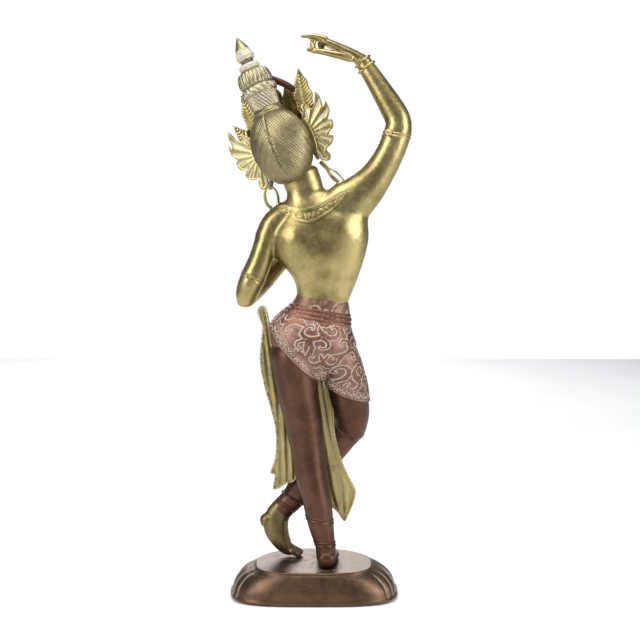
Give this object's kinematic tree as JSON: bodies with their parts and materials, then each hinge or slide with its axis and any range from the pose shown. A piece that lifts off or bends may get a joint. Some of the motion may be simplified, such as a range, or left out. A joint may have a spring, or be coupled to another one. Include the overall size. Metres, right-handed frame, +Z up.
{
  "type": "cast brass figure of a dancing mother goddess on a plinth",
  "caption": "Cast brass and copper dancing goddess with crown and hip cloth, one arm raised in an arch over the head, standing on a low fluted plinth.",
  "frame": {"origin": "middle of the plinth's underside", "axes": "+Z up; the figure faces -Y; its raised right arm is on the -X side"},
  "size_m": [0.2302, 0.1462, 0.7057],
  "materials": {
    "figure": "worn polished brass with brown tarnish",
    "copper": "dark copper-brown patina, softly polished",
    "plinth": "dark copper-brown patina with orange wear"
  },
  "bodies": {
    "root": {"figure": "figure", "plinth": "plinth"}
  },
  "joints": []
}
